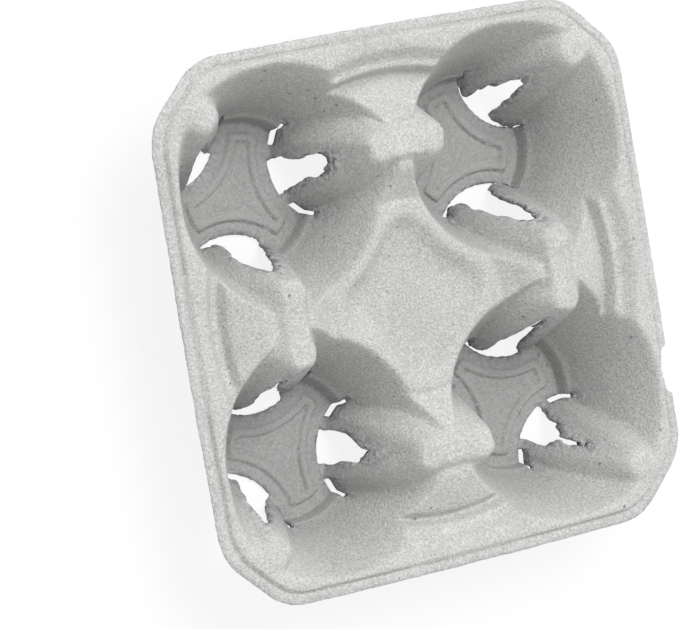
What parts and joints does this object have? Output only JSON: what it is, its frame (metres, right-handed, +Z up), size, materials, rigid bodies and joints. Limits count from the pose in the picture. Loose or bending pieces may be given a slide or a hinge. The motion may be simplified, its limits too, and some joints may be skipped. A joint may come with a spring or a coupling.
{
  "type": "cup carrier",
  "caption": "Square moulded pulp tray with sloping cup wells, hollow spring fingers around each well, arched ridges between them and a shallow dish in the middle.",
  "frame": {"origin": "middle of the tray, on the underside of the cup floors", "axes": "+Z up, X and Y along the sides; the nicked side is +X"},
  "size_m": [0.215, 0.215, 0.0524],
  "materials": {
    "moulded_pulp": "matte rough pulp, light grey, with fine fibres and specks"
  },
  "bodies": {
    "root": {"carrier_tray": "moulded_pulp"}
  },
  "joints": []
}
